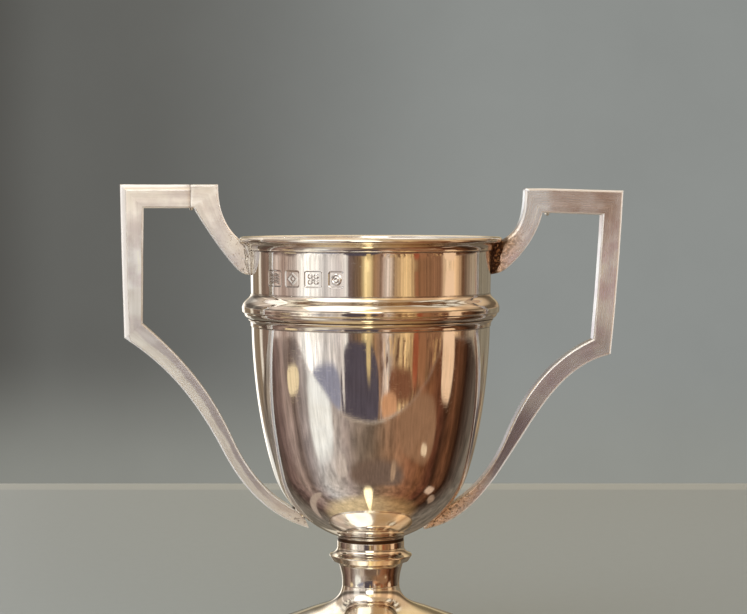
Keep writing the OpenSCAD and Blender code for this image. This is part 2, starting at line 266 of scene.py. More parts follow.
def bar_silver(name):
    """Filed silver bar: satin along its length, bright on its rounded edges, pitted near the solder."""
    material, nodes, place = new_material(name)
    grain = nodes.attribute("grain", "Vector")
    edge = nodes.attribute("edge")
    pits = nodes.attribute("pits")
    cavity = nodes.attribute("cavity")
    side = nodes.axis(place, "X")
    right = nodes.span(side, -10 * MM, 10 * MM)

    height = nodes.axis(place, "Z")
    high = nodes.span(height, 74 * MM, 86 * MM)
    patches = nodes.span(nodes.noise(place, 1 / (5 * MM), 5.0, 0.62), 0.36, 0.66)
    left_low = nodes.mix(patches, *LEFT_LOW)
    left_high = nodes.mix(patches, *LEFT_HIGH)
    right_low = nodes.mix(patches, *RIGHT_LOW)
    right_high = nodes.mix(patches, *RIGHT_HIGH)
    leg = nodes.span(height, 56 * MM, 66 * MM, 1.0, 0.0)
    head = nodes.span(nodes.math("ABSOLUTE", side), 33.2 * MM, 35.5 * MM, 1.0, 0.0)
    across = nodes.axis(grain, "Y")
    wander = nodes.times_plus(nodes.noise(place, 1 / (3 * MM), 3.0, 0.6), 1.4 * MM, across)
    ridge_light_and_shade = nodes.span(wander, 0.55 * MM, 1.05 * MM)  # painted highlight and painted shade on either side of a wandering line down the left leg, standing for a low filed crest
    leg_tone = nodes.mix(ridge_light_and_shade, *LEFT_LEG)
    left_low = nodes.mix(nodes.times(leg, 0.85), left_low, leg_tone)
    # painted highlight: the right top bar is pale near the bracket
    right_high = nodes.mix(head, right_high, RIGHT_HEAD_HIGHLIGHT)
    right_low = nodes.mix(nodes.times(leg, 0.5), right_low, RIGHT_LEG)
    above_tip = nodes.span(height, 31 * MM, 36 * MM)
    under_bend = nodes.span(height, 42 * MM, 50 * MM, 0.7, 0.0)
    shaded = nodes.times(above_tip, under_bend)
    right_low = nodes.mix(shaded, right_low, RIGHT_LEG_SHADE)
    left_base = nodes.mix(high, left_low, left_high)
    right_base = nodes.mix(high, right_low, right_high)
    base = nodes.mix(right, left_base, right_base)
    bands = nodes.noise(nodes.stretch(grain, (60.0, 900.0, 900.0)), 1.0, 3.0, 0.6)
    base = scale_colour(nodes, base, nodes.span(bands, 0.3, 0.7, 0.86, 1.06))
    base = nodes.mix(edge, base, WHITE)
    # painted warm reflection: on the right handle the bar turns orange near the solder, pale on the left
    near_solder = nodes.mix(right, *NEAR_SOLDER)
    base = nodes.mix(nodes.times(pits, 0.8), base, near_solder)
    crust = nodes.noise(place, 1 / (0.6 * MM), 4.0, 0.7)
    thin_spots = nodes.times_plus(right, 0.09, crust)
    pitted = nodes.times(nodes.span(thin_spots, 0.57, 0.68), pits)
    # cavity holds tarnish at the joints and, round the right bracket's root, painted shade, so this
    # tarnish colour is partly painted shade
    dirt = nodes.span(nodes.times_plus(crust, 0.5, cavity), 0.6, 1.25)
    dirt = nodes.math("MAXIMUM", dirt, nodes.times(pitted, 0.8))
    colour = nodes.mix(dirt, base, TARNISH)

    fine = streaks(nodes, grain, (300.0, 7000.0, 7000.0), 0.40, 0.75)
    long_scratch = streaks(nodes, grain, (80.0, 4200.0, 4200.0), 0.64, 0.74)
    stray = streaks(nodes, grain, (1500.0, 700.0, 700.0), 0.68, 0.78)
    brushed = nodes.math("MAXIMUM", nodes.times(fine, 0.35), long_scratch)
    brushed = nodes.math("MAXIMUM", brushed, nodes.times(stray, 0.5))

    satin = nodes.times_plus(right, -0.05, 0.32)
    flat_rough = nodes.times_plus(brushed, 0.08, satin)
    rough = nodes.times_plus(edge, -0.16, flat_rough)
    rough = nodes.times_plus(dirt, 0.2, rough)

    left_leg = nodes.times(leg, nodes.math("SUBTRACT", 1.0, right))
    frost = nodes.times_plus(edge, 0.6, nodes.times(left_leg, 0.2))
    metal = nodes.math("SUBTRACT", 1.0, frost)  # rubbing frosts the bars where they are handled most

    dents = nodes.noise(place, 1 / (4.5 * MM), 2.0, 0.5)
    relief = nodes.times(brushed, -0.10e-6)
    relief = nodes.times_plus(dents, 2.2e-5, relief)
    relief = nodes.times_plus(pitted, -2.5e-5, relief)
    finish_metal(nodes, colour, metal, rough, relief)
    return material


def solder_metal(name, pale, dark, spread):
    """Solder left round a joint: lumpy and dull; spread is how much of it is dark."""
    material, nodes, place = new_material(name)
    crust = nodes.noise(place, 1 / (0.5 * MM), 5.0, 0.7)
    darkness = nodes.span(crust, 0.68 - spread, 0.80 - spread)
    colour = nodes.mix(darkness, pale, dark)
    rough = nodes.times_plus(darkness, 0.3, 0.2)
    finish_metal(nodes, colour, 1.0, rough, nodes.times(crust, 5e-5))
    return material


FLOOR_TONES = (rgb(0.26, 0.32, 0.36), rgb(0.29, 0.35, 0.39))
# a painted highlight along the shelf's far edge
FLOOR_EDGE_HIGHLIGHT = rgb(0.36, 0.41, 0.43)


def floor_material():
    material, nodes, place = new_material("floor")
    speckle = nodes.noise(place, 400.0, 4.0, 0.6)
    colour = nodes.mix(speckle, *FLOOR_TONES)
    # painted highlight: a paler stripe along the shelf's far edge, where its glass edge catches the
    # light
    far_edge_highlight = nodes.span(nodes.attribute("depth"), 0.964, 0.968)
    colour = nodes.mix(far_edge_highlight, colour, FLOOR_EDGE_HIGHLIGHT)
    shader = nodes.add("ShaderNodeBsdfPrincipled", {"Base Color": colour, "Roughness": 0.35})
    nodes.add("ShaderNodeOutputMaterial", {"Surface": shader.outputs[0]})
    return material


# ---- Outlines of turned pieces, read from the CAD --------------------------------------


def cad_section(node):
    """A turned CAD piece's outline as (radius, height) points, anticlockwise, and whether it closes."""
    bm = bmesh.new()
    bm.from_mesh(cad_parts[node].data)
    bmesh.ops.remove_doubles(bm, verts=bm.verts, dist=SAME)
    # A dictionary keeps the mesh's own order, so that every run starts at the same point
    seam = dict.fromkeys(v for v in bm.verts if abs(v.co.y) < SAME and v.co.x > -SAME)
    near = {v: [e.other_vert(v) for e in v.link_edges if e.other_vert(v) in seam] for v in seam}
    ends = [v for v in seam if len(near[v]) == 1]
    start = ends[0] if ends else next(iter(seam))
    path = [start]
    last = None
    while True:
        ahead = [v for v in near[path[-1]] if v is not last and v is not path[0]]
        if not ahead:
            break
        last = path[-1]
        path.append(ahead[0])
    points = np.array([(math.hypot(v.co.x, v.co.y), v.co.z) for v in path])
    bm.free()
    following = np.roll(points, -1, axis=0)
    area = np.sum(points[:, 0] * following[:, 1] - following[:, 0] * points[:, 1])
    return (points if area > 0 else points[::-1]), not ends


def unit(v):
    length = np.linalg.norm(v)
    return v / length if length > 0 else v


def running_lengths(points):
    """The distance along a polyline to each of its points."""
    return np.concatenate([[0.0], np.cumsum(np.linalg.norm(np.diff(points, axis=0), axis=1))])


def refine(points, closed, step, corner_radius, corner_angle=math.radians(24)):
    """Rounds an outline's corners, smooths its curves and gives rows no further apart than step.

    Returns the rows and, for each, how deep in a hollow corner it lies, from 0 to 1."""
    count = len(points)
    knots = []  # (point, direction, hollow)
    for i in range(count):
        here = points[i]
        if not closed and i in (0, count - 1):
            other = points[1] if i == 0 else points[-2]
            way = unit(other - here) if i == 0 else unit(here - other)
            knots.append((here, way, 0.0))
            continue
        before = here - points[i - 1]
        after = points[(i + 1) % count] - here
        a, b = unit(before), unit(after)
        turn = math.atan2(a[0] * b[1] - a[1] * b[0], float(a @ b))
        len_a, len_b = np.linalg.norm(before), np.linalg.norm(after)
        if abs(turn) < corner_angle:
            knots.append((here, unit(a * len_b + b * len_a), 0.0))
            continue
        hollow = 1.0 if turn < 0 else 0.0
        cut = min(corner_radius * math.tan(abs(turn) / 2), 0.4 * len_a, 0.4 * len_b)
        brace = min(0.05 * MM, 0.3 * cut + 0.01 * MM)
        start, end = here - a * cut, here + b * cut
        knots.append((start - a * brace, a, hollow))
        arcs = 4
        for k in range(arcs + 1):
            t = k / arcs
            point = (1 - t) ** 2 * start + 2 * t * (1 - t) * here + t * t * end
            knots.append((point, unit((1 - t) * a + t * b), hollow))
        knots.append((end + b * brace, b, hollow))
    rows, hollows = [], []
    pairs = len(knots) if closed else len(knots) - 1
    for i in range(pairs):
        p, d, h = knots[i]
        q, e, g = knots[(i + 1) % len(knots)]
        length = np.linalg.norm(q - p)
        pieces = max(1, math.ceil(length / step))
        for k in range(pieces):
            t = k / pieces
            rows.append(
                (2 * t**3 - 3 * t**2 + 1) * p
                + (t**3 - 2 * t**2 + t) * length * d
                + (3 * t**2 - 2 * t**3) * q
                + (t**3 - t**2) * length * e
            )
            hollows.append((1 - t) * h + t * g)
    if not closed:
        rows.append(knots[-1][0])
        hollows.append(knots[-1][2])
    return np.array(rows), np.array(hollows)


# ---- Turned pieces --------------------------------------------------------------------

TWIST = 0.9 / (10 * MM)  # how fast the crossing scratches wind round the cup, in radians a metre


def new_object(name, mesh, material):
    thing = bpy.data.objects.new(name, mesh)
    bpy.context.scene.collection.objects.link(thing)
    mesh.materials.append(material)
    mesh.polygons.foreach_set("use_smooth", [True] * len(mesh.polygons))
    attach(thing, BODY)
    return thing


def store(mesh, name, kind, values):
    layer = mesh.attributes.new(name, kind, "POINT")
    key = "vector" if kind == "FLOAT_VECTOR" else "value"
    layer.data.foreach_set(key, np.asarray(values, np.float32).ravel())


def ripple(points, normals, depth, size):
    """Moves points along their normals by up to depth, in soft waves of about size."""
    waves = [noise.noise(Vector(p / size)) + 0.4 * noise.noise(Vector(p * 2.3 / size)) for p in points]
    return points + normals * (depth * (np.array(waves) - 1.0))[:, None]


def turned_mesh(name, rows, closed, angles, hollows, wave_depth, wave_size, carve=None):
    """A mesh of revolution from outline rows and column angles, gently uneven as hand work is."""
    count, columns = len(rows), len(angles)
    ahead = np.roll(rows, -1, axis=0) - rows
    behind = rows - np.roll(rows, 1, axis=0)
    if not closed:
        ahead[-1], behind[0] = behind[-1], ahead[0]
    way = ahead / np.maximum(np.linalg.norm(ahead, axis=1), 1e-12)[:, None]
    way = way + behind / np.maximum(np.linalg.norm(behind, axis=1), 1e-12)[:, None]
    way /= np.maximum(np.linalg.norm(way, axis=1), 1e-12)[:, None]
    cosines, sines = np.cos(angles), np.sin(angles)
    r = rows[:, 0][:, None]
    points = np.stack([r * cosines, r * sines, np.repeat(rows[:, 1][:, None], columns, 1)], axis=-1)
    out = np.stack(
        [
            way[:, 1][:, None] * cosines,
            way[:, 1][:, None] * sines,
            np.repeat(-way[:, 0][:, None], columns, 1),
        ],
        axis=-1,
    )
    flat = points.reshape(-1, 3)
    out = out.reshape(-1, 3)
    moved = ripple(flat, out, wave_depth, wave_size)
    stains = np.repeat(hollows, columns)
    if carve is not None:
        depth, stain = carve(flat, out)
        moved = moved - out * depth[:, None]
        stains = np.maximum(stains, stain)
    run = running_lengths(rows)
    mean_r = max(rows[:, 0].mean(), 2 * MM)
    phi = np.tile(angles, count)
    along = np.repeat(run, columns)
    faces = []
    steps = count if closed else count - 1
    for i in range(steps):
        a, b = i * columns, ((i + 1) % count) * columns
        low_point = rows[i][0] < SAME
        high_point = rows[(i + 1) % count][0] < SAME
        for j in range(columns):
            k = (j + 1) % columns
            if low_point and high_point:
                continue
            if low_point:
                faces.append((a, b + k, b + j))
            elif high_point:
                faces.append((a + j, a + k, b))
            else:
                faces.append((a + j, a + k, b + k, b + j))
    mesh = bpy.data.meshes.new(name)
    mesh.from_pydata(moved.tolist(), [], faces)
    store(mesh, "cavity", "FLOAT", stains)
    store(mesh, "inside", "FLOAT", np.repeat(np.clip(-4.0 * way[:, 1], 0.0, 1.0), columns))
    for label, wind in (("grain", 0.0), ("grain_left", TWIST), ("grain_right", -TWIST)):
        turn = phi + wind * along
        vectors = np.stack([mean_r * np.cos(turn), mean_r * np.sin(turn), along], axis=-1)
        store(mesh, label, "FLOAT_VECTOR", vectors)
    bm = bmesh.new()
    bm.from_mesh(mesh)
    loose = [v for v in bm.verts if not v.link_faces]
    bmesh.ops.delete(bm, geom=loose, context="VERTS")
    bm.to_mesh(mesh)
    bm.free()
    return mesh


def full_circle(columns):
    return np.arange(columns) * 2 * math.pi / columns


def turned_piece(node, material, slot, step, corner, columns, wave):
    """A finer turned piece in place of a CAD node, with the CAD's own outline."""
    points, closed = cad_section(node)
    rows, hollows = refine(points, closed, step, corner)
    mesh = turned_mesh(node + "_turned", rows, closed, full_circle(columns), hollows, *wave)
    piece = new_object(node + "_turned", mesh, material)
    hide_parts(node)
    return piece


def joint_dirt(*heights, reach=0.22 * MM):
    """Tarnish that gathers where another piece is soldered on, at the given heights."""
    return lambda rows: np.max(
        [np.exp(-(((rows[:, 1] - z) / reach) ** 2)) for z in heights], axis=0
    )


# ---- Bowl with its row of punched marks -------------------------------------------------

MARK_SIZE = 1.5 * MM  # half of a mark's height, and the size that the motifs are drawn for
MARK_DEPTH = 0.12 * MM
MARK_WALL = 0.10 * MM
MARK_HEIGHT = girdle_box[1].z + 0.40 * (lip_box[0].z - girdle_box[1].z)
MARK_GRID = 0.11 * MM
FRONT = -math.pi / 2 - CUP_TURN  # the angle that faces the camera


def soft_edge(distance, width):
    """1 inside a shape, 0 outside, smooth across its edge; distance is negative inside."""
    t = np.clip(0.5 - distance / width, 0.0, 1.0)
    return t * t * (3 - 2 * t)


def box_distance(u, v, half_u, half_v, corner):
    du = np.abs(u) - half_u + corner
    dv = np.abs(v) - half_v + corner
    outside = np.hypot(np.maximum(du, 0), np.maximum(dv, 0))
    return outside + np.minimum(np.maximum(du, dv), 0) - corner


def ring_distance(u, v, radius, half_line):
    return np.abs(np.hypot(u, v) - radius) - half_line


def lozenge(u, v):
    """A lozenge outline round a dot."""
    outline = np.abs(np.abs(u) + np.abs(v) - 0.95 * MM) / math.sqrt(2) - 0.13 * MM
    return np.minimum(outline, np.hypot(u, v) - 0.24 * MM)


def petals(u, v):
    """Four round petals about a middle dot."""
    offset = 0.52 * MM
    rounds = np.hypot(np.abs(u) - offset, np.abs(v) - offset) - 0.36 * MM
    return np.minimum(rounds, np.hypot(u, v) - 0.2 * MM)


def waves(u, v):
    """Three wavy bars, one over another."""
    bend = v - 0.14 * MM * np.sin(u * 2 * math.pi / (1.1 * MM))
    pitch = 0.62 * MM
    row = np.clip(np.round(bend / pitch), -1, 1) * pitch
    return np.maximum(np.abs(bend - row) - 0.13 * MM, np.abs(u) - 1.0 * MM)


def rings(u, v):
    """Two rings, one in the other."""
    outer, inner = (ring_distance(u, v, radius, 0.13 * MM) for radius in (0.86 * MM, 0.38 * MM))
    return np.minimum(outer, inner)


# Each mark: degrees to the right of the eye, half width, how worn it is from 0 to 1, and its motif
MARKS = [
    (-50.8, 1.95 * MM, 0.55, waves),
    (-39.0, 1.60 * MM, 0.25, lozenge),
    (-27.3, 1.80 * MM, 0.0, petals),
    (-15.9, 1.35 * MM, 0.0, rings),
]
MARK_TURNS = [math.radians(mark[0]) for mark in MARKS]


def carve_marks(points, out):
    """How deep each point of the bowl's outside is punched, and how much tarnish it holds."""
    depth = np.zeros(len(points))
    stain = np.zeros(len(points))
    v = points[:, 2] - MARK_HEIGHT
    radius = np.hypot(points[:, 0], points[:, 1])
    phi = np.arctan2(points[:, 1], points[:, 0])
    facing_out = out[:, 0] * np.cos(phi) + out[:, 1] * np.sin(phi) > 0.5
    for degrees, half_width, wear, motif in MARKS:
        offset = (phi - FRONT - math.radians(degrees) + math.pi) % (2 * math.pi) - math.pi
        u = offset * radius
        near = facing_out & (np.abs(u) < 1.4 * half_width) & (np.abs(v) < 1.5 * MARK_SIZE)
        outline = box_distance(u[near], v[near], half_width, MARK_SIZE * 0.96, 0.4 * MM)
        sunk = soft_edge(outline, MARK_WALL)
        raised = soft_edge(motif(u[near] * MARK_SIZE / half_width, v[near]), MARK_WALL)
        depth[near] = MARK_DEPTH * (1 - 0.7 * wear) * sunk * (1 - 0.85 * raised)
        walls = 4 * sunk * (1 - sunk) + sunk * (0.25 + 2.4 * raised * (1 - raised))
        stain[near] = np.clip(walls, 0, 1) * (1 - 0.6 * wear)
    return depth, stain


def crowd(values, low, high, step):
    """Sorted values with extra ones between low and high, at most a step apart."""
    extra = np.arange(low, high, step)
    keep = values[(values < low) | (values > high)]
    return np.sort(np.concatenate([keep, extra]))


def bowl_rows(points, closed):
    rows, hollows = refine(points, closed, 0.62 * MM, 0.12 * MM)
    brim = int(np.argmax(rows[:, 1]))  # the outline runs up the outside, over the brim and down inside
    gaps = np.linalg.norm(np.roll(rows, -1, axis=0) - rows, axis=1)
    wanted = [i <= brim or i % 2 == 0 or gaps[i] < 0.3 * MM for i in range(len(rows) - 1)] + [True]
    rows, hollows = rows[wanted], hollows[wanted]
    low, high = MARK_HEIGHT - 1.2 * MARK_SIZE, MARK_HEIGHT + 1.2 * MARK_SIZE
    made, marks = [], []
    for i in range(len(rows)):
        made.append(rows[i])
        marks.append(hollows[i])
        if i + 1 == len(rows):
            break
        p, q = rows[i], rows[i + 1]
        outside = q[1] > p[1] and min(p[0], q[0]) > lip_radius * 0.86
        if outside and q[1] > low and p[1] < high:
            pieces = math.ceil((q[1] - p[1]) / MARK_GRID)
            for k in range(1, pieces):
                made.append(p + (q - p) * k / pieces)
                marks.append(hollows[i])
    return np.array(made), np.array(marks)


def add_bowl(material):
    points, closed = cad_section("bowl_shell")
    rows, hollows = bowl_rows(points, closed)
    dirt = joint_dirt(lip_box[0].z, girdle_box[1].z, lower_girdle_box[0].z, collar_box[1].z)
    outside = rows[:, 0] > np.interp(rows[:, 1], [0.0, 0.06, 0.08], [0.0, 22.3 * MM, 22.5 * MM])
    hollows = np.maximum(hollows, dirt(rows) * outside)
    edge = 1.6 * MARK_SIZE / lip_radius
    low = (FRONT + min(MARK_TURNS) - edge) % (2 * math.pi)
    high = low + max(MARK_TURNS) - min(MARK_TURNS) + 2 * edge
    angles = crowd(full_circle(184), low, high, MARK_GRID / lip_radius)
    mesh = turned_mesh(
        "bowl_shell_turned", rows, closed, angles, hollows, 0.022 * MM, 11 * MM, carve_marks
    )
    bowl = new_object("bowl_shell_turned", mesh, material)
    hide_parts("bowl_shell")
    return bowl


# ---- Handle bars ----------------------------------------------------------------------

EDGE_ROUND = 0.30 * MM
RIGHT_ROUND = 0.42 * MM  # the right handle's outer edges are more worn
BROAD_EDGE = (1.10 * MM, 0.50 * MM)  # the worn outer edge of the left handle, across and deep
STATION = 0.6 * MM
SEAT = 0.2 * MM  # how far a bar's end goes into the cup's wall


def cad_outline(node):
    """The front outline of a handle bar as (x, z) points, in order round the face."""
    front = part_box(node)[0].y
    bm = bmesh.new()
    bm.from_mesh(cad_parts[node].data)
    bmesh.ops.remove_doubles(bm, verts=bm.verts, dist=SAME)
    face = {f for f in bm.faces if all(abs(v.co.y - front) < SAME for v in f.verts)}
    rim = [e for e in bm.edges if sum(f in face for f in e.link_faces) == 1]
    near = {}
    for e in rim:
        a, b = e.verts
        near.setdefault(a, []).append(b)
        near.setdefault(b, []).append(a)
    path, last = [next(iter(near))], None
    while True:
        ahead = [v for v in near[path[-1]] if v is not last]
        if ahead[0] in path:
            break
        last = path[-1]
        path.append(ahead[0])
    points = np.array([(v.co.x, v.co.z) for v in path])
    bm.free()
    return points


def surface_tree(node):
    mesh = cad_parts[node].data
    points = [v.co.copy() for v in mesh.vertices]
    return bvhtree.BVHTree.FromPolygons(points, [tuple(p.vertices) for p in mesh.polygons])


CUP_TREES = [surface_tree(node) for node in ("bowl_shell", "lip_wire")]


def distance_to_cup(x, y, z):
    """Distance from a point to the bowl or the lip."""
    return min(tree.find_nearest(Vector((x, y, z)))[3] for tree in CUP_TREES)


def touches_cup(point):
    return distance_to_cup(point[0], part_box("left_leg")[0].y, point[1]) < 0.05 * MM


def bar_corners(bar, points):
    """The numbers of a bar's four corners: outer start, outer end, inner end and inner start."""
    x, z = np.abs(points[:, 0]), points[:, 1]
    if bar == "top_bar":
        return [np.argmax(z - x), np.argmax(z + x), np.argmax(x - 2 * z), np.argmin(x + z)]
    if bar == "grip_bar":
        return [np.argmax(z + x), np.argmax(x - z), np.argmin(z + x), np.argmax(z - 2 * x)]
    touching = np.array([touches_cup(p) for p in points])
    if bar == "bracket":
        outer_start = np.argmax(np.where(touching, z, 0))
        return [outer_start, np.argmax(z + x), np.argmax(x - 0.2 * z), np.argmin(z)]
    inner_end = np.argmax(np.where(touching, x, 0))
    return [np.argmax(x), np.argmin(z), inner_end, np.argmax(z)]


def walk(points, start, end, forward):
    count = len(points)
    run = [points[start % count]]
    i = start
    while i % count != end % count:
        i += 1 if forward else -1
        run.append(points[i % count])
    return np.array(run)


def bar_sides(bar, points):
    """A bar's outer edge, inner edge and two ends, as lists of points that run outwards from the bracket
    along the edges and from the outer to the inner edge across the ends."""
    a, b, c, d = bar_corners(bar, points)
    count = len(points)
    forward = (b - a) % count < (c - a) % count
    outer = walk(points, a, b, forward)
    inner = walk(points, d, c, not forward)
    finish = walk(points, b, c, forward)
    start = walk(points, a, d, not forward)
    return outer, inner, start, finish


def resample(points, pieces):
    """A polyline's points at even distances."""
    lengths = running_lengths(points)
    where = np.linspace(0, lengths[-1], pieces + 1)
    return np.stack([np.interp(where, lengths, points[:, k]) for k in (0, 1)], axis=-1)


def run_length(points):
    return running_lengths(points)[-1]


def smooth_line(points, step=0.4 * MM):
    """A polyline with its gentle bends smoothed; it keeps its ends."""
    fine = resample(points, max(2, math.ceil(run_length(points) / step)))
    for _ in range(6):
        fine[1:-1] = 0.25 * fine[:-2] + 0.5 * fine[1:-1] + 0.25 * fine[2:]
    return fine


def split_at_corners(points, angle=math.radians(50)):
    """A polyline cut into runs at its sharp corners."""
    cuts = [0]
    for i in range(1, len(points) - 1):
        a, b = unit(points[i] - points[i - 1]), unit(points[i + 1] - points[i])
        if abs(math.atan2(a[0] * b[1] - a[1] * b[0], float(a @ b))) > angle:
            cuts.append(i)
    cuts.append(len(points) - 1)
    return [points[a : b + 1] for a, b in zip(cuts[:-1], cuts[1:])]


def pair_up(outer, inner):
    """Points on the two edges, taken in pairs, with their corners matched."""
    runs_a, runs_b = split_at_corners(outer), split_at_corners(inner)
    if len(runs_a) != len(runs_b):
        runs_a, runs_b = [outer], [inner]
    side_a, side_b = [], []
    for a, b in zip(runs_a, runs_b):
        pieces = max(1, math.ceil(max(run_length(a), run_length(b)) / STATION))
        a, b = resample(smooth_line(a), pieces), resample(smooth_line(b), pieces)
        start = 1 if side_a else 0
        side_a.extend(a[start:])
        side_b.extend(b[start:])
    return np.array(side_a), np.array(side_b)


def section_ring(width, half, edge_a, edge_b):
    """A rounded rectangle as (across, y, brightness of edge) triples; across is 0 at the outer edge.

    Each edge is how far its corners are rounded off, across and deep."""
    arcs = 6
    ring = []

    def arc(across, y, edge, start):
        """A round edge, or nearly a flat bevel where it is broader than it is deep."""
        power = 1.0 + 0.55 * min(1.0, edge[0] / edge[1] - 1.0) if edge[0] > edge[1] else 1.0
        for k in range(arcs + 1):
            a = math.radians(start + 90 * k / arcs)
            bright = 1.0 if 0 < k < arcs else 0.5
            reach = math.copysign(abs(math.cos(a)) ** power, math.cos(a))
            rise = math.copysign(abs(math.sin(a)) ** power, math.sin(a))
            ring.append((across + edge[0] * reach, y + edge[1] * rise, bright))

    def flat(p, q):
        brace = min(0.05 * MM / max(math.dist(p, q), 1e-9), 0.2)
        for t in (brace, 0.25, 0.5, 0.75, 1 - brace):
            ring.append((p[0] + (q[0] - p[0]) * t, p[1] + (q[1] - p[1]) * t, 0.0))

    deep_a, deep_b = half - edge_a[1], half - edge_b[1]
    arc(edge_a[0], -deep_a, edge_a, 180)
    flat((edge_a[0], -half), (width - edge_b[0], -half))
    arc(width - edge_b[0], -deep_b, edge_b, 270)
    flat((width, -deep_b), (width, deep_b))
    arc(width - edge_b[0], deep_b, edge_b, 0)
    flat((width - edge_b[0], half), (edge_a[0], half))
    arc(edge_a[0], deep_a, edge_a, 90)
    flat((0.0, deep_a), (0.0, -deep_a))
    return ring


def seated(end):
    """A bar's end with the part that touches the cup pushed a little into the cup's wall."""
    moved = end.copy()
    for i, point in enumerate(end):
        if touches_cup(point):
            moved[i, 0] -= math.copysign(SEAT, point[0])
    return moved


def along_line(points, share):
    lengths = running_lengths(points)
    where = share * lengths[-1]
    return np.array([np.interp(where, lengths, points[:, k]) for k in (0, 1)])


def outer_edge(node, distance):
    """How far a bar's outer edge is rounded off, across and deep, at a distance from the bar's start."""
    broad = {"left_grip_bar": 1.0, "left_top_bar": 1.0, "left_leg": max(0.0, 1 - distance / (1.2 * MM))}
    share = broad.get(node, 0.0)
    usual = RIGHT_ROUND if node.startswith("right") else EDGE_ROUND
    return tuple(usual + share * (size - usual) for size in BROAD_EDGE)


def add_bar(side, bar, material, seam):
    """One rounded bar, skinned over a row of sections between its two long edges."""
    node = f"{side}_{bar}"
    low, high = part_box(node)
    half = (high.y - low.y) / 2
    outer, inner, start, finish = bar_sides(bar, cad_outline(node))
    edge_a, edge_b = pair_up(outer, inner)
    count = len(edge_a)
    way_a, way_b = np.gradient(edge_a, axis=0), np.gradient(edge_b, axis=0)
    middle = (edge_a + edge_b) / 2
    along = running_lengths(middle)
    ends = {0: seated(start), count - 1: seated(finish)}
    points, grains, edges = [], [], []
    for i in range(count):
        across = edge_b[i] - edge_a[i]
        width = np.linalg.norm(across)
        e = across / width
        lean_a = abs(e[0] * unit(way_a[i])[1] - e[1] * unit(way_a[i])[0])
        lean_b = abs(e[0] * unit(way_b[i])[1] - e[1] * unit(way_b[i])[0])
        across_a, deep_a = outer_edge(node, along[i])
        edge_a_size = (min(across_a / max(lean_a, 0.5), 0.45 * width), deep_a)
        edge_b_size = (min(EDGE_ROUND / max(lean_b, 0.5), 0.45 * width), EDGE_ROUND)
        for w, y, bright in section_ring(width, half, edge_a_size, edge_b_size):
            place = along_line(ends[i], w / width) if i in ends else edge_a[i] + e * w
            points.append((place[0], y, place[1]))
            grains.append((along[i], w - width / 2, y))
            edges.append(bright)
    ring = len(points) // count
    faces = tube_faces(count, ring)
    faces.append(tuple(range(ring - 1, -1, -1)))
    faces.append(tuple((count - 1) * ring + j for j in range(ring)))
    points = np.array(points)
    centres = np.repeat(np.stack([middle[:, 0], np.zeros(count), middle[:, 1]], axis=-1), ring, 0)
    away = points - centres
    away /= np.linalg.norm(away, axis=1)[:, None]
    points = ripple(points, away, 0.03 * MM, 3.5 * MM)
    gap = np.array([distance_to_cup(*p) for p in points])
    dirt_and_shade = 0.9 * np.exp(-((gap / (0.35 * MM)) ** 2))
    if side == "left" and bar in ("bracket", "top_bar"):
        to_seam = np.abs(np.abs(points[:, 0]) - seam)
        points -= away * (0.05 * MM * (to_seam < 0.03 * MM))[:, None]
        dirt_and_shade = np.maximum(dirt_and_shade, 0.7 * np.exp(-((to_seam / (0.12 * MM)) ** 2)))
    # painted shade: the right bracket is darkened for about 1.7 mm out from the neck, where shade falls
    # under the lip
    if node == "right_bracket":
        dirt_and_shade = np.maximum(dirt_and_shade, 1.3 * np.exp(-((gap / (1.7 * MM)) ** 2)))
    mesh = bpy.data.meshes.new(node + "_filed")
    mesh.from_pydata(points.tolist(), [], faces)
    store(mesh, "grain", "FLOAT_VECTOR", grains)
    store(mesh, "edge", "FLOAT", edges)
    pitted = 4.3 * MM if side == "right" else 3.6 * MM
    store(mesh, "pits", "FLOAT", np.clip(1.15 - gap / pitted, 0, 1))
    store(mesh, "cavity", "FLOAT", dirt_and_shade)
    tidy_normals(mesh)
    piece = new_object(node + "_filed", mesh, material)
    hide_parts(node)
    return finish if bar == "leg" else start


def tube_faces(count, ring, closed=False):
    """The faces between rings of points, one ring after another, without caps."""
    faces = []
    for i in range(count if closed else count - 1):
        a, b = i * ring, (i + 1) % count * ring
        for j in range(ring):
            k = (j + 1) % ring
            faces.append((a + j, a + k, b + k, b + j))
    return faces


def tidy_normals(mesh):
    """Faces point outwards, and the flat ends keep crisp borders."""
    bm = bmesh.new()
    bm.from_mesh(mesh)
    bmesh.ops.recalc_face_normals(bm, faces=bm.faces)
    for face in bm.faces:
        if len(face.verts) > 4:
            for edge in face.edges:
                edge.smooth = False
    bm.to_mesh(mesh)
    bm.free()


def add_solder_piece(name, points, faces, material):
    mesh = bpy.data.meshes.new(name)
    mesh.from_pydata([tuple(p) for p in points], [], faces)
    tidy_normals(mesh)
    new_object(name, mesh, material)


def lumpy_tube(name, rows, radii, closed, inwards, material):
    """A hand-laid run of solder along a row of points."""
    count, ring = len(rows), 12
    points = []
    for i in range(count):
        ahead = rows[(i + 1) % count] if closed or i + 1 < count else rows[i]
        behind = rows[i - 1] if closed or i > 0 else rows[i]
        tangent = Vector(ahead - behind).normalized()
        first = tangent.cross(Vector(inwards)).normalized()
        second = tangent.cross(first)
        place = Vector(rows[i])
        for j in range(ring):
            a = 2 * math.pi * j / ring
            way = first * math.cos(a) + second * math.sin(a)
            lump = 0.5 * noise.noise((place + way * 0.3 * MM) / (0.8 * MM))
            points.append(place + way * (radii[i] * (1 + lump)))
    faces = tube_faces(count, ring, closed)
    if not closed:
        faces.append(tuple(range(ring)))
        faces.append(tuple((count - 1) * ring + j for j in range(ring)))
    add_solder_piece(name, points, faces, material)


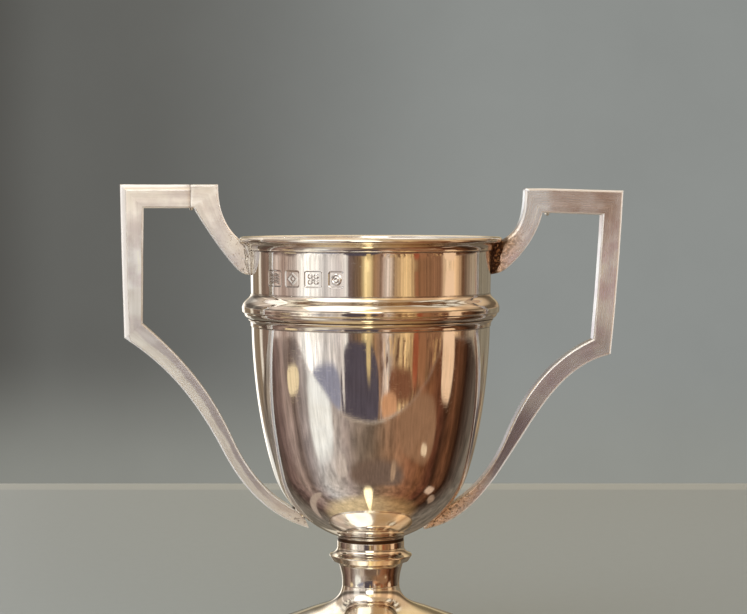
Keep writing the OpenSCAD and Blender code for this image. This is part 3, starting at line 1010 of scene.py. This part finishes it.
def add_solder(name, contact, half, material):
    """A lumpy line of solder all round the joint between a handle and the cup."""
    line = smooth_line(np.array([p for p in contact if touches_cup(p)]), 0.25 * MM)
    rows = [(x, -half, z) for x, z in line]
    rows += [(line[-1][0], -half + 2 * half * t, line[-1][1]) for t in np.linspace(0.08, 0.92, 12)]
    rows += [(x, half, z) for x, z in line[::-1]]
    rows += [(line[0][0], half - 2 * half * t, line[0][1]) for t in np.linspace(0.08, 0.92, 12)]
    rows = np.array(rows)
    for _ in range(3):
        rows = 0.25 * np.roll(rows, 1, axis=0) + 0.5 * rows + 0.25 * np.roll(rows, -1, axis=0)
    inwards = (-math.copysign(1.0, rows[0][0]), 0.0, 0.0)
    lumpy_tube(name, rows, [0.30 * MM] * len(rows), True, inwards, material)


def add_seam_bead(name, corner, half, material):
    """The last of the solder in the inner corner where the bracket's head meets the top bar."""
    across = np.linspace(-1.0, 1.0, 15)
    rows = np.array([(corner[0], half * 0.97 * t, corner[1]) for t in across])
    radii = [0.34 * MM * max(0.25, 1 - t**6) for t in across]
    lumpy_tube(name, rows, radii, False, (0.0, 0.0, 1.0), material)


def add_fillet(name, contact, half, facing, width, material):
    """Solder in the hollow between a bracket's flat face and the neck, thinning out at both ends."""
    line = smooth_line(np.array([p for p in contact if touches_cup(p)]), 0.2 * MM)
    side = math.copysign(1.0, line[0][0])
    steps = 7
    points = []
    for i, (x, z) in enumerate(line):
        share = i / (len(line) - 1)
        swell = min(1.0, 4 * share, 4 * (1 - share)) ** 0.5
        reach = width * swell * (1 + 0.35 * noise.noise(Vector((x, facing, z)) / (1.1 * MM)))
        reach = max(reach, 0.05 * MM)
        radius = math.hypot(x, half)
        y_far = half + reach * 0.8
        on_plate = np.array([abs(x) + reach, half - 0.03 * MM])
        on_neck = np.array([math.sqrt(radius**2 - y_far**2) - 0.03 * MM, y_far])
        root = np.array([abs(x), half])
        ring = []
        for k in range(steps + 1):
            t = k / steps
            ring.append((1 - t) ** 2 * on_plate + 2 * t * (1 - t) * root + t * t * on_neck)
        ring.append(root - np.array([0.25 * MM, 0.25 * MM]))
        points.extend((side * a, facing * b, z) for a, b in ring)
    ring = steps + 2
    faces = tube_faces(len(line), ring)
    faces.append(tuple(range(ring)))
    faces.append(tuple((len(line) - 1) * ring + j for j in range(ring)))
    add_solder_piece(name, points, faces, material)


def add_handle(side, material, solder, shade_solder):
    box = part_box(f"{side}_top_bar")
    seam = min(abs(box[0].x), abs(box[1].x))
    half = box[1].y
    for bar in ("bracket", "top_bar", "grip_bar", "leg"):
        end = add_bar(side, bar, material, seam)
        if bar == "leg":
            add_solder(f"{side}_leg_solder", end, half, solder)
        if bar == "top_bar":
            corner = end[-1] + np.array([-math.copysign(0.2 * MM, end[-1][0]), -0.1 * MM])
            add_seam_bead(f"{side}_seam_solder", corner, half, solder)
        if bar == "bracket":
            for label, facing in (("front", -1), ("back", 1)):
                # On the right handle the wider dark fillet is painted shade: a dark piece in the hollow
                # under the lip where shade falls
                filler, width = (shade_solder, 2.1 * MM) if side == "right" else (solder, 1.1 * MM)
                add_fillet(f"{side}_bracket_solder_{label}", end, half, facing, width, filler)


# ---- Floor, backdrop and light ----------------------------------------------------------


BACKDROP_FAR_LEFT = rgb(0.09, 0.088, 0.08)
BACKDROP_LEFT = rgb(0.125, 0.125, 0.115)
BACKDROP_MIDDLE = rgb(0.268, 0.280, 0.268)
BACKDROP_RIGHT = rgb(0.36, 0.355, 0.30)
BACKDROP_LOW = rgb(0.29, 0.295, 0.265)  # just over the shelf
BACKDROP_RADIUS = 5.0
FLOOR_SIDE, FLOOR_NEAR, FLOOR_FAR = 0.9, -0.18, 0.25


def add_floor():
    """A pale shelf that ends a little way behind the cup."""
    mesh = bpy.data.meshes.new("floor")
    turn = Matrix.Rotation(-CUP_TURN, 3, "Z")
    spots = [
        (-FLOOR_SIDE, FLOOR_NEAR),
        (FLOOR_SIDE, FLOOR_NEAR),
        (FLOOR_SIDE, FLOOR_FAR),
        (-FLOOR_SIDE, FLOOR_FAR),
    ]
    mesh.from_pydata([tuple(turn @ Vector((x, y, 0.0))) for x, y in spots], [], [(0, 1, 2, 3)])
    floor = bpy.data.objects.new("floor", mesh)
    bpy.context.scene.collection.objects.link(floor)
    store(mesh, "depth", "FLOAT", [0.0, 0.0, 1.0, 1.0])
    mesh.materials.append(floor_material())
    floor.visible_glossy = False  # the world already holds the shelf that the silver reflects


def add_backdrop():
    """A plain dome that only the camera sees, so that every view has the same quiet background."""
    mesh = bpy.data.meshes.new("backdrop")
    bm = bmesh.new()
    bmesh.ops.create_uvsphere(bm, u_segments=64, v_segments=32, radius=BACKDROP_RADIUS)
    bm.to_mesh(mesh)
    bm.free()
    backdrop = bpy.data.objects.new("backdrop", mesh)
    bpy.context.scene.collection.objects.link(backdrop)
    material = bpy.data.materials.new("backdrop")
    material.use_nodes = True
    nodes = Nodes(material.node_tree)
    place = nodes.add("ShaderNodeTexCoord").outputs["Generated"]
    across = nodes.axis(place, "X")
    tone = nodes.mix(nodes.span(across, 0.485, 0.585), BACKDROP_LEFT, BACKDROP_MIDDLE)
    tone = nodes.mix(nodes.span(across, 0.453, 0.472), BACKDROP_FAR_LEFT, tone)
    tone = nodes.mix(nodes.span(across, 0.662, 0.676), tone, BACKDROP_RIGHT)
    near_shelf = nodes.span(nodes.axis(place, "Z"), 0.440, 0.475, 0.75, 0.0)
    tone = nodes.mix(near_shelf, tone, BACKDROP_LOW)
    cloth = nodes.times_plus(nodes.noise(place, 26.0, 5.0, 0.6), 0.16, 0.92)
    tone = scale_colour(nodes, tone, cloth)
    glow = nodes.add("ShaderNodeEmission", {"Color": tone, "Strength": 1.0})
    nodes.add("ShaderNodeOutputMaterial", {"Surface": glow.outputs[0]})
    mesh.materials.append(material)
    for ray in ("diffuse", "glossy", "transmission", "volume_scatter", "shadow"):
        setattr(backdrop, "visible_" + ray, False)


# The room as the polished silver sees it. Directions are given as degrees to the right of the eye and as
# the height component of the direction, from -1 straight down to 1 straight up.

# Light at eye level: tall pale panels on the left, warm ones on the right and a grey-green wall behind
LIGHT_RING = [
    (-180, (0.22, 0.22, 0.18)),
    (-171, (0.30, 0.28, 0.24)),
    (-167, (1.70, 1.60, 1.45)),
    (-158, (1.70, 1.60, 1.45)),
    (-152, (0.27, 0.21, 0.15)),
    (-136, (0.24, 0.17, 0.11)),
    (-132, (1.10, 1.00, 0.85)),
    (-128, (0.22, 0.15, 0.11)),
    (-112, (0.20, 0.13, 0.10)),
    (-101, (0.62, 0.50, 0.43)),
    (-92, (0.36, 0.25, 0.20)),
    (-76, (0.52, 0.43, 0.38)),
    (-68, (1.20, 1.14, 1.06)),
    (-53, (1.15, 1.08, 1.00)),
    (-44, (0.66, 0.60, 0.56)),
    (-36, (0.80, 0.72, 0.66)),
    (-29, (0.58, 0.50, 0.46)),
    (-23, (0.92, 0.84, 0.75)),
    (-20, (0.13, 0.09, 0.08)),
    (-9, (0.24, 0.14, 0.07)),
    (-3, (1.35, 1.02, 0.50)),
    (3, (0.32, 0.17, 0.08)),
    (10, (0.30, 0.18, 0.12)),
    (16, (0.82, 0.66, 0.54)),
    (22, (0.36, 0.22, 0.12)),
    (34, (0.84, 0.55, 0.26)),
    (46, (0.24, 0.11, 0.05)),
    (70, (0.26, 0.12, 0.06)),
    (78, (0.95, 0.66, 0.40)),
    (89, (0.80, 0.50, 0.27)),
    (98, (0.11, 0.045, 0.02)),
    (114, (0.38, 0.29, 0.20)),
]
BACK_WALL = rgb(0.25, 0.21, 0.15)

# The dim shelf round the foot, pale mauve on the left and copper on the right
SHELF_RING = [
    (-180, (0.16, 0.14, 0.10)),
    (-148, (0.19, 0.16, 0.13)),
    (-130, (0.12, 0.09, 0.07)),
    (-119, (0.09, 0.055, 0.045)),
    (-106, (0.20, 0.13, 0.11)),
    (-94, (0.33, 0.24, 0.20)),
    (-85, (0.16, 0.11, 0.09)),
    (-74, (0.33, 0.27, 0.25)),
    (-61, (0.52, 0.48, 0.45)),
    (-42, (0.50, 0.43, 0.38)),
    (-28, (0.38, 0.30, 0.26)),
    (-16, (0.23, 0.17, 0.13)),
    (2, (0.18, 0.12, 0.08)),
    (16, (0.25, 0.14, 0.08)),
    (32, (0.30, 0.15, 0.08)),
    (46, (0.24, 0.10, 0.05)),
    (62, (0.18, 0.07, 0.03)),
    (76, (0.12, 0.04, 0.02)),
    (84, (0.05, 0.02, 0.01)),
    (96, (0.14, 0.055, 0.025)),
    (107, (0.03, 0.012, 0.006)),
    (120, (0.08, 0.055, 0.04)),
    (136, (0.16, 0.13, 0.10)),
    (180, (0.17, 0.13, 0.09)),
]

# Single shapes, as (degrees, height, half width in degrees, half height, softness, colour): those of the
# room end at the shelf's front edge, those of the shelf start there, and the last lie over both.
ROOM_SHAPES = [
    (-46, -0.29, 16, 0.09, 0.3, (0.29, 0.28, 0.34)),  # a sleeve
    (-11, -0.32, 19, 0.19, 0.12, (0.09, 0.072, 0.085)),  # dark clothes behind the camera
    (-27, -0.18, 1.2, 0.16, 0.5, (0.80, 0.70, 0.62)),
    (-2, -0.16, 2.0, 0.10, 0.7, (0.66, 0.47, 0.22)),
    (30, -0.27, 12, 0.06, 0.7, (0.20, 0.08, 0.04)),
    (19, -0.345, 8, 0.05, 0.5, (0.60, 0.30, 0.15)),
    (44, -0.17, 3, 0.10, 0.7, (0.34, 0.09, 0.04)),
    (51, -0.17, 4, 0.10, 0.7, (0.30, 0.13, 0.06)),
]
SHELF_SHAPES = [
    (-54, -0.36, 13, 0.15, 0.6, (0.92, 0.90, 0.84)),
    (-36, -0.57, 7, 0.05, 0.7, (0.58, 0.48, 0.41)),
    (52, -0.40, 22, 0.12, 0.3, (0.29, 0.15, 0.08)),
    (8, -0.62, 34, 0.07, 0.7, (0.17, 0.11, 0.08)),
    (92, -0.65, 8, 0.05, 0.7, (0.60, 0.40, 0.27)),
    (112, -0.70, 8, 0.035, 0.7, (0.32, 0.21, 0.14)),
    (-112, -0.73, 32, 0.03, 0.7, (0.44, 0.34, 0.27)),
    (-4, -0.86, 7, 0.13, 0.8, (2.00, 1.65, 0.95)),
]
LOOSE_SHAPES = [
    (-83, -0.22, 8, 0.04, 0.2, (0.85, 0.68, 0.43)),  # a cream card
    (81, -0.16, 7.5, 0.12, 0.2, (0.88, 0.58, 0.36)),
    (63, -0.46, 4, 0.02, 0.6, (0.85, 0.62, 0.40)),
    (28, -0.60, 3, 0.05, 0.6, (0.42, 0.27, 0.17)),
    (-161, -0.24, 13, 0.055, 0.6, (0.85, 0.82, 0.75)),
    (-174, -0.68, 9, 0.24, 0.5, (0.75, 0.66, 0.52)),
]
SHELF_FRONT = 0.436  # slope down to the shelf's front edge, straight ahead
SHELF_BACK = 0.22
WINDOW_MIDDLE = -4  # a tall window above the eye, in degrees to the right
WINDOW_HALF = 13
WINDOW = rgb(2.6, 2.6, 2.5)
HIGH_LEFT = rgb(0.50, 0.44, 0.40)
HIGH_MIDDLE = rgb(1.10, 0.88, 0.50)
HIGH_RIGHT = rgb(0.60, 0.40, 0.24)
CEILING = rgb(0.95, 0.86, 0.72)
FRONT_CEILING = rgb(0.60, 0.52, 0.44)
FRONT_CEILING_RIGHT = rgb(0.50, 0.33, 0.19)
SHELF_EDGE = rgb(0.62, 0.50, 0.38)
LEFT_PANEL = rgb(0.95, 0.90, 0.85)
DARK_BITS = rgb(0.11, 0.045, 0.025)
GOLD_BITS = rgb(0.80, 0.47, 0.19)
GOLD = rgb(0.66, 0.50, 0.29)
COPPER = rgb(0.34, 0.19, 0.08)


def ramp(nodes, place, stops):
    """Colours by degrees to the right of the eye; place is 0 at -180 degrees and 1 at 180."""
    node = nodes.add("ShaderNodeValToRGB", {"Fac": place})
    elements = node.color_ramp.elements
    while len(elements) > 1:
        elements.remove(elements[-1])
    for index, (degrees, colour) in enumerate(stops):
        stop = elements[0] if index == 0 else elements.new(0.5 + degrees / 360.0)
        stop.position = 0.5 + degrees / 360.0
        stop.color = rgb(*colour)
    return node.outputs["Color"]


def lay_shapes(nodes, light, angle, height, shapes):
    """Soft round-cornered patches mixed over the light, one after another."""
    for degrees, middle, half_width, half_height, softness, colour in shapes:
        across = nodes.math("SUBTRACT", angle, math.radians(degrees))
        across = nodes.times(across, 1 / math.radians(half_width))
        upright = nodes.times(nodes.math("SUBTRACT", height, middle), 1 / half_height)
        spread = nodes.math("ADD", nodes.math("POWER", across, 4.0), nodes.math("POWER", upright, 2.0))
        inside = nodes.span(spread, 1 - softness, 1 + softness, 1.0, 0.0)
        light = nodes.mix(inside, light, rgb(*colour))
    return light


def add_light_ring():
    """The world: a painted room that lights the scene and that the silver reflects."""
    world = bpy.data.worlds.new("studio")
    bpy.context.scene.world = world
    world.use_nodes = True
    nodes = Nodes(world.node_tree)
    ray = nodes.add("ShaderNodeTexCoord").outputs["Generated"]
    turn = nodes.add(
        "ShaderNodeVectorRotate",
        {"Vector": ray, "Axis": (0.0, 0.0, 1.0), "Angle": CUP_TURN},
        rotation_type="AXIS_ANGLE",
    )
    way = turn.outputs[0]
    across = nodes.axis(way, "X")
    height = nodes.axis(way, "Z")
    back = nodes.times(nodes.axis(way, "Y"), -1.0)
    angle = nodes.math("ARCTAN2", across, back)
    place = nodes.times_plus(angle, 0.5 / math.pi, 0.5)

    behind = nodes.span(place, 0.5 + 117 / 360.0, 0.5 + 121 / 360.0)
    ring = nodes.mix(behind, ramp(nodes, place, LIGHT_RING), BACK_WALL)
    tall = nodes.noise(nodes.stretch(way, (34.0, 34.0, 3.0)), 1.0, 4.0, 0.65)
    shade = nodes.span(tall, 0.3, 0.7, 0.62, 1.35)
    ring = scale_colour(nodes, ring, shade)
    clutter = nodes.noise(nodes.stretch(way, (24.0, 24.0, 10.0)), 1.0, 5.0, 0.7)
    low = nodes.span(height, -0.12, -0.09, 1.0, 0.0)
    corner = nodes.times(nodes.span(across, 0.12, 0.2), low)
    dark_bits = nodes.times(corner, nodes.span(clutter, 0.53, 0.57))
    gold_bits = nodes.times(corner, nodes.span(clutter, 0.38, 0.43, 0.8, 0.0))
    room = nodes.mix(dark_bits, ring, DARK_BITS)
    room = nodes.mix(gold_bits, room, GOLD_BITS)
    room = lay_shapes(nodes, room, angle, height, ROOM_SHAPES)

    smudges = nodes.noise(way, 10.0, 5.0, 0.65)
    shelf = scale_colour(nodes, ramp(nodes, place, SHELF_RING), nodes.span(smudges, 0.3, 0.7, 0.65, 1.4))
    right_side = nodes.span(across, -0.25, 0.45)
    glow_low = nodes.mix(right_side, GOLD, COPPER)
    glow_low = scale_colour(nodes, glow_low, nodes.span(smudges, 0.3, 0.7, 0.75, 1.2))
    shelf = nodes.mix(nodes.span(height, -0.93, -0.80), glow_low, shelf)
    shelf = lay_shapes(nodes, shelf, angle, height, SHELF_SHAPES)
    front_slope = nodes.times(back, SHELF_FRONT)
    back_slope = nodes.times(back, -SHELF_BACK)
    slope = nodes.math("MAXIMUM", nodes.math("MAXIMUM", front_slope, back_slope), 0.09)
    over_edge = nodes.math("ADD", height, slope)
    light = nodes.mix(nodes.span(over_edge, -0.012, 0.006), shelf, room)
    rim = nodes.span(nodes.math("ABSOLUTE", nodes.math("ADD", over_edge, 0.008)), 0.003, 0.010, 1.0, 0.0)
    rim = nodes.times(rim, nodes.span(nodes.math("ABSOLUTE", angle), 0.3, 0.8, 0.6, 0.15))
    light = nodes.mix(rim, light, SHELF_EDGE)
    light = lay_shapes(nodes, light, angle, height, LOOSE_SHAPES)
    low_shade = nodes.mix(nodes.span(height, -0.14, -0.10), shade, WHITE)
    light = scale_colour(nodes, light, nodes.mix(0.5, low_shade, WHITE))

    middle = nodes.span(across, -0.30, -0.02)
    high = nodes.mix(middle, HIGH_LEFT, HIGH_MIDDLE)
    high = nodes.mix(nodes.span(across, 0.02, 0.40), high, HIGH_RIGHT)
    soft_ring = nodes.mix(0.45, high, ring)
    dip = nodes.span(height, 0.08, 0.16, 1.0, 0.32)
    rise = nodes.span(height, 0.26, 0.46, 0.0, 1.15)
    upper = scale_colour(nodes, soft_ring, nodes.math("ADD", dip, rise))
    lamps = nodes.span(nodes.noise(nodes.stretch(way, (1.0, 3.0, 1.0)), 3.0, 2.0, 0.5), 0.46, 0.56)
    ceiling = nodes.mix(lamps, scale_colour(nodes, high, 0.35), CEILING)
    front = nodes.mix(nodes.span(across, -0.02, 0.25), FRONT_CEILING, FRONT_CEILING_RIGHT)
    ceiling = nodes.mix(nodes.span(back, 0.0, 0.25), ceiling, front)
    upper = nodes.mix(nodes.span(height, 0.60, 0.72), upper, ceiling)
    panel = nodes.span(nodes.math("ABSOLUTE", nodes.math("ADD", angle, 1.0)), 0.14, 0.26, 0.6, 0.0)
    upper = nodes.mix(panel, upper, LEFT_PANEL)
    light = nodes.mix(nodes.span(height, 0.0, 0.10), light, upper)

    off_middle = nodes.math("ABSOLUTE", nodes.math("SUBTRACT", angle, math.radians(WINDOW_MIDDLE)))
    pane = nodes.span(off_middle, math.radians(WINDOW_HALF - 3), math.radians(WINDOW_HALF + 3), 1.0, 0.0)
    pane = nodes.times(pane, nodes.span(height, 0.03, 0.09))
    pane = nodes.times(pane, nodes.span(height, 0.36, 0.44, 1.0, 0.0))
    light = nodes.mix(pane, light, WINDOW)
    glow = nodes.add("ShaderNodeBackground", {"Color": light, "Strength": 1.0})
    nodes.add("ShaderNodeOutputWorld", {"Surface": glow.outputs[0]})


# Each lamp: name, place, size, power in watts, colour, and whether the silver shows it
LAMPS = [
    ("top_softbox", (-0.35, -0.35, 0.75), 0.85, 1.7, (1.0, 0.98, 0.95), True),
    ("left_rim_light", (-3.0, -0.1, 0.5), 0.6, 38.0, (1.0, 1.0, 1.0), False),
    ("right_rim_light", (3.0, -0.1, 0.5), 0.6, 90.0, (1.0, 0.98, 0.94), False),
]


def add_softbox(name, place, size, power, colour, mirrored):
    """A round lamp aimed at the cup; mirrored is whether the silver shows it as a highlight."""
    data = bpy.data.lights.new(name, "AREA")
    data.shape = "DISK"
    data.size = size
    data.energy = power
    data.color = colour
    lamp = bpy.data.objects.new(name, data)
    bpy.context.scene.collection.objects.link(lamp)
    lamp.location = place
    aim = Vector((0.0, 0.0, top_z / 2)) - lamp.location
    lamp.rotation_euler = aim.to_track_quat("-Z", "Y").to_euler()
    lamp.visible_camera = False
    lamp.visible_glossy = mirrored


# ---- The whole scene --------------------------------------------------------------------

# Each silver: its tone, the tone of its warmer patches, its roughness, and how deep its scratches and
# turning lines are
SILVERS = {
    "bright_silver": (rgb(0.94, 0.925, 0.90), rgb(0.90, 0.86, 0.80), 0.040, 1.1e-6, 0.25e-6),
    "wire_silver": (rgb(0.90, 0.86, 0.79), rgb(0.84, 0.75, 0.62), 0.060, 0.9e-6, 0.5e-6),
    "warm_silver": (rgb(0.93, 0.89, 0.81), rgb(0.88, 0.79, 0.64), 0.075, 0.9e-6, 0.9e-6),
}

# How each group of turned pieces is made: distance between rows, corner radius, columns, and the depth
# and size of its waves
WIRE = (0.18 * MM, 0.10 * MM, 224, (0.014 * MM, 7 * MM))
STEM = (0.16 * MM, 0.07 * MM, 160, (0.008 * MM, 4 * MM))
TURNED = [
    ("lip_wire", "wire_silver", "bright_silver", *WIRE),
    ("girdle_upper_wire", "wire_silver", "bright_silver", *WIRE),
    ("girdle_lower_wire", "wire_silver", "bright_silver", *WIRE),
    ("bowl_collar", "warm_silver", "warm_silver", *STEM),
    ("knop_ring", "warm_silver", "warm_silver", *STEM),
    ("stem", "warm_silver", "warm_silver", *STEM),
    ("foot_dome", "warm_silver", "warm_silver", 0.35 * MM, 0.12 * MM, 192, (0.018 * MM, 8 * MM)),
    ("foot_rim_wire", "warm_silver", "warm_silver", 0.2 * MM, 0.12 * MM, 192, (0.012 * MM, 8 * MM)),
]


def main():
    scene = bpy.context.scene
    scene.view_settings.view_transform = "Standard"
    add_camera()
    add_light_ring()
    for lamp in LAMPS:
        add_softbox(*lamp)
    add_floor()
    add_backdrop()

    silvers = {name: silver(name, *look) for name, look in SILVERS.items()}
    bar = bar_silver("handle_silver")
    solder = solder_metal("solder", rgb(0.86, 0.81, 0.72), rgb(0.20, 0.12, 0.07), 0.14)
    # painted shade: dark solder that fills the shaded hollow at the right bracket's root
    shade_solder = solder_metal("shade_solder", rgb(0.50, 0.34, 0.22), rgb(0.07, 0.04, 0.03), 0.32)

    add_bowl(silvers["bright_silver"])
    for node, look, slot, *shape in TURNED:
        turned_piece(node, silvers[look], slot, *shape)
    for side in ("left", "right"):
        add_handle(side, bar, solder, shade_solder)


main()
